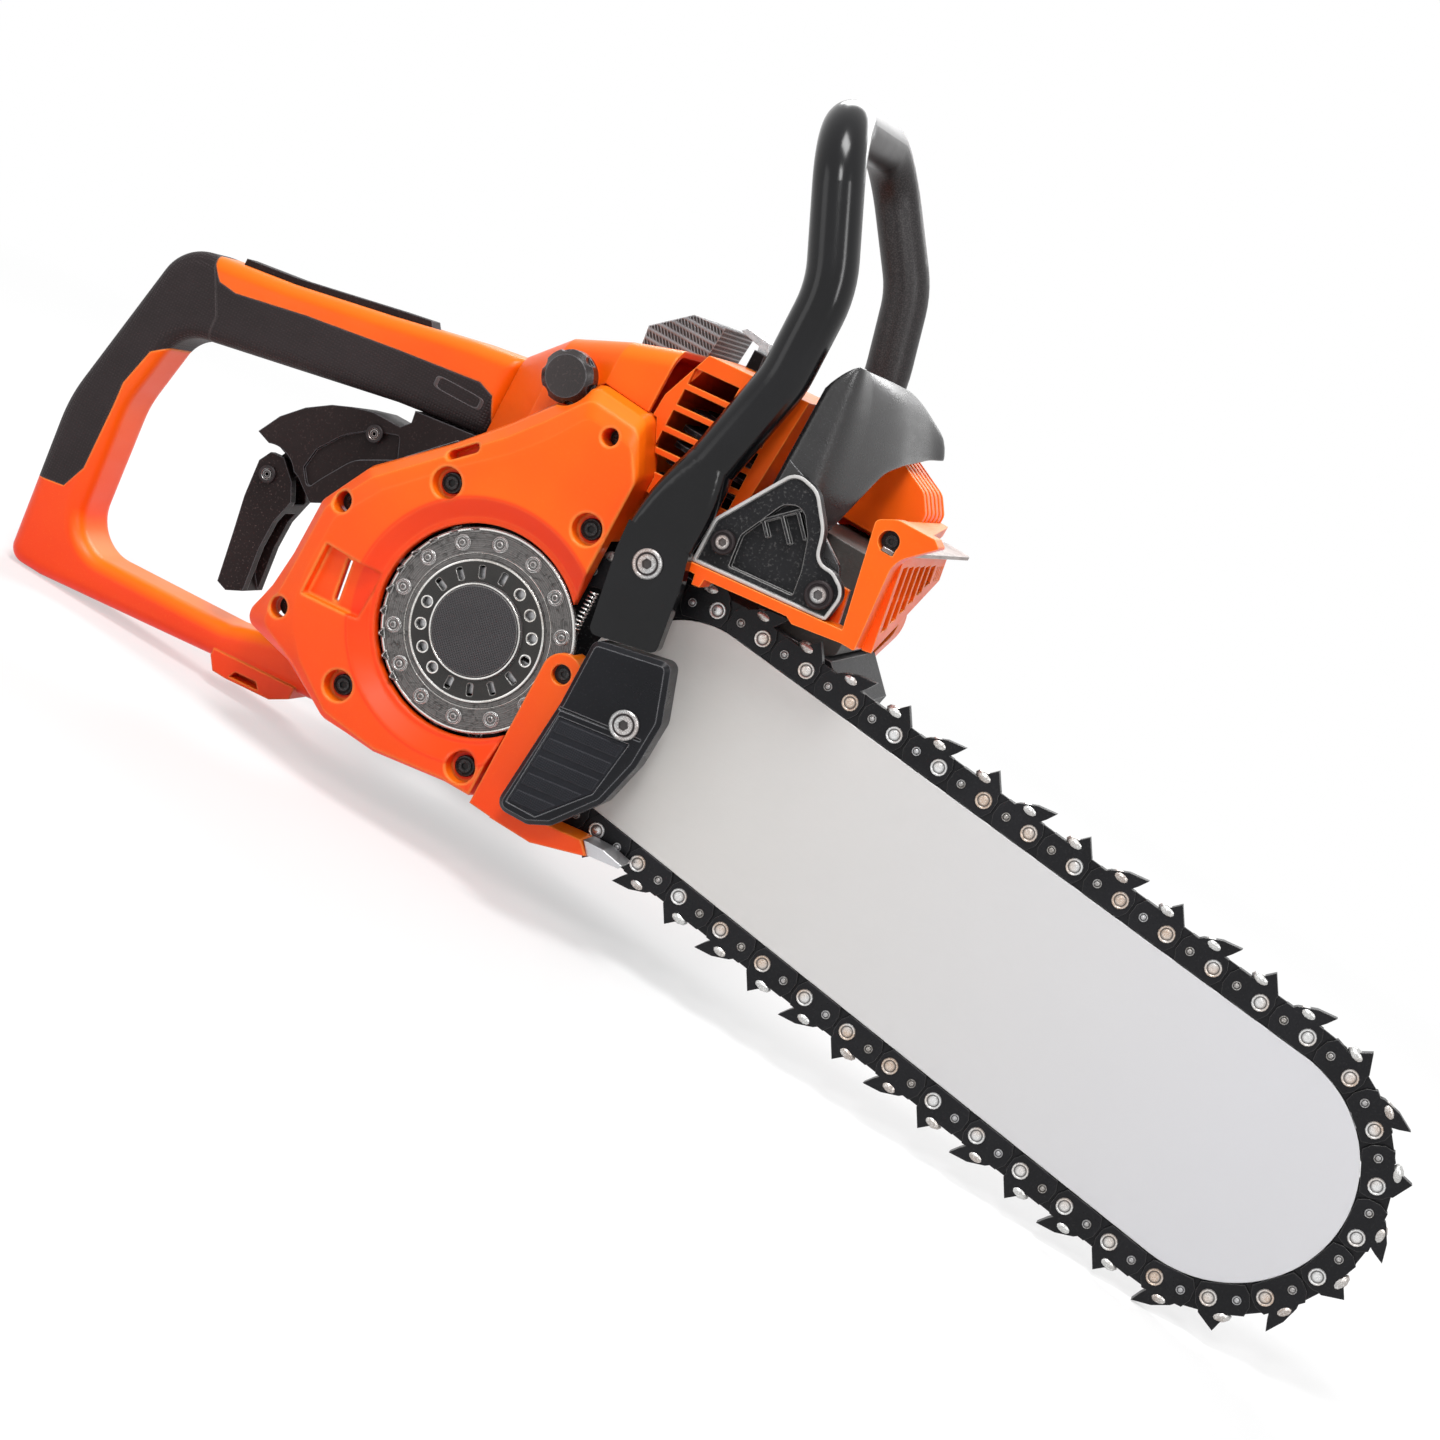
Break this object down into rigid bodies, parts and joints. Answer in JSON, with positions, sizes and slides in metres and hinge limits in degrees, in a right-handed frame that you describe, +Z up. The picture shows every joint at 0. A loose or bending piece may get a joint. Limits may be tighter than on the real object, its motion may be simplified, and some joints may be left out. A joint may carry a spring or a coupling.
{
  "type": "chainsaw",
  "caption": "Petrol chainsaw: orange moulded body, black looped rear grip and tubular front handle, pale wide guide bar with a toothed chain riveted round it.",
  "frame": {"origin": "centre of the bounding box on the surface the saw stands on", "axes": "+X towards the nose of the guide bar, +Y towards the starter side, +Z up"},
  "size_m": [0.8104, 0.2066, 0.4333],
  "materials": {
    "orange_shell": "gloss moulded",
    "orange_parts": "satin moulded",
    "black_grip": "matt dimpled",
    "black_plastic": "satin",
    "black_coated_tube": "satin powder coat",
    "dark_casting": "rough cast, dark",
    "bare_aluminium": "machined",
    "bar_steel": "pale satin",
    "chain_black": "blackened steel",
    "rivet_steel": "bright",
    "steel": "machined",
    "drum_steel": "dark machined",
    "iron": "cast",
    "filter_mesh": "woven grey mesh",
    "red_rubber": "matt",
    "white_insulator": "glazed"
  },
  "bodies": {
    "saw": {"guide_bar": "bar_steel", "chain_spike_links": "chain_black", "chain_hook_links": "chain_black", "chain_drive_links": "chain_black", "chain_rivets": "rivet_steel", "clutch_cover": "orange_shell", "cover_screws": "chain_black", "cover_arm": "orange_shell", "chain_catcher": "bare_aluminium", "brake_band": "steel", "oil_pump": "dark_casting", "crankcase": "dark_casting", "bar_studs": "steel", "bar_nuts": "steel", "ignition_coil": "black_plastic", "cylinder": "dark_casting", "piston": "bare_aluminium", "spark_plug": "white_insulator", "muffler": "iron", "carburettor": "bare_aluminium", "top_housing": "orange_shell", "air_filter": "filter_mesh", "clip_pin": "black_plastic", "cylinder_cover": "orange_parts", "ribbed_hood": "orange_parts", "front_frame": "orange_parts", "front_grille": "orange_parts", "deflector": "steel", "brake_casting": "dark_casting", "brake_screws": "steel", "front_handle": "black_coated_tube", "handle_screws": "steel", "guard_block": "black_plastic", "guard_pad": "black_grip", "handle_pins": "steel", "trigger_bracket": "black_plastic", "handle_buffer": "red_rubber", "starter_cover": "orange_shell", "starter_screws": "steel", "starter_grip": "black_plastic", "rear_handle_frame": "orange_shell", "rear_handle_grip": "black_grip", "rear_handle_pad": "black_grip"},
    "clutch": {"clutch_drum": "drum_steel", "clutch_cap": "dark_casting", "drive_sprocket": "steel", "sprocket_flange": "rivet_steel"},
    "crank": {"crankshaft": "steel", "flywheel": "bare_aluminium", "clutch_shoes": "steel"},
    "starter_pulley": {"starter_pulley": "black_plastic"},
    "trigger": {"throttle_trigger": "black_plastic"},
    "lockout": {"throttle_lockout": "black_plastic"},
    "guard": {"hand_guard": "black_plastic"},
    "filter_knob": {"filter_knob": "black_plastic"},
    "filter_clip": {"filter_clip": "steel"},
    "fuel_cap": {"fuel_cap": "black_plastic"},
    "oil_cap": {"oil_cap": "black_plastic"},
    "stop_switch": {"stop_switch": "black_plastic"},
    "choke": {"choke_lever": "black_plastic"}
  },
  "joints": [
    {"name": "clutch_spin", "type": "hinge", "parent": "saw", "child": "clutch", "pos_m": [-0.1195, -0.06915, 0.115], "axis": [0, 1, 0], "continuous": true},
    {"name": "crank_spin", "type": "hinge", "parent": "saw", "child": "crank", "pos_m": [-0.1195, 0.00085, 0.115], "axis": [0, 1, 0], "continuous": true},
    {"name": "starter_spin", "type": "hinge", "parent": "saw", "child": "starter_pulley", "pos_m": [-0.1195, 0.07085, 0.115], "axis": [0, 1, 0], "continuous": true},
    {"name": "trigger_pull", "type": "hinge", "parent": "saw", "child": "trigger", "pos_m": [-0.2826, 0.00085, 0.115], "axis": [0, 1, 0], "range_deg": [0, 16], "stiffness_Nm_per_rad": 0.3, "springref_deg": -20.05},
    {"name": "lockout_press", "type": "hinge", "parent": "saw", "child": "lockout", "pos_m": [-0.244, 0.00085, 0.2195], "axis": [0, -1, 0], "range_deg": [0, 3.5], "stiffness_Nm_per_rad": 0.6, "springref_deg": -17.19},
    {"name": "guard_tilt", "type": "hinge", "parent": "saw", "child": "guard", "pos_m": [0.0244, -0.07415, 0.2184], "axis": [0, 1, 0], "range_deg": [0, 10]},
    {"name": "knob_turn", "type": "hinge", "parent": "saw", "child": "filter_knob", "pos_m": [-0.1397, -0.06315, 0.247], "axis": [0, 1, 0], "continuous": true},
    {"name": "clip_lift", "type": "hinge", "parent": "saw", "child": "filter_clip", "pos_m": [-0.079, 0.01685, 0.296], "axis": [0, 1, 0], "range_deg": [0, 60]},
    {"name": "fuel_cap_turn", "type": "hinge", "parent": "saw", "child": "fuel_cap", "pos_m": [-0.187, 0.05485, 0.146], "axis": [0, 1, 0], "continuous": true},
    {"name": "oil_cap_turn", "type": "hinge", "parent": "saw", "child": "oil_cap", "pos_m": [0.032, 0.05485, 0.112], "axis": [0, 1, 0], "continuous": true},
    {"name": "stop_switch_turn", "type": "hinge", "parent": "saw", "child": "stop_switch", "pos_m": [-0.111, 0.05485, 0.258], "axis": [0, 1, 0], "range_deg": [0, 40]},
    {"name": "choke_turn", "type": "hinge", "parent": "saw", "child": "choke", "pos_m": [-0.111, 0.05485, 0.23], "axis": [0, 1, 0], "range_deg": [0, 70]}
  ]
}
